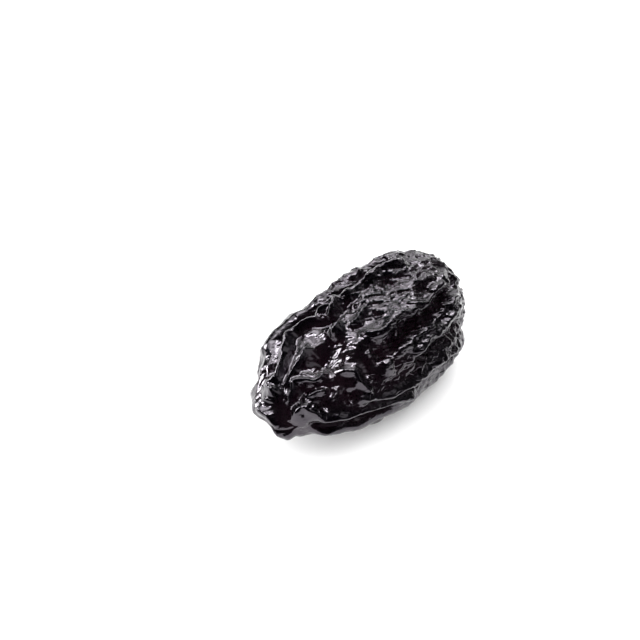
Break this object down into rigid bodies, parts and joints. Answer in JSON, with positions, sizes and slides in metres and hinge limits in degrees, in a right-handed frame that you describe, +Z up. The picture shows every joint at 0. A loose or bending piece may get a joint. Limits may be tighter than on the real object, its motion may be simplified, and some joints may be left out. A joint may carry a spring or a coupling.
{
  "type": "prune",
  "caption": "Whole dried plum lying on its side, its dark glossy skin sunk into long folds, with one deep groove and a small flat spot underneath.",
  "frame": {"origin": "on the surface the prune lies on, under the middle of its box", "axes": "+X along the prune from the blunt stem end to the rounder far end, +Z up"},
  "size_m": [0.0416, 0.0228, 0.0194],
  "materials": {
    "prune_skin": null
  },
  "bodies": {
    "root": {"prune": "prune_skin"}
  },
  "joints": []
}
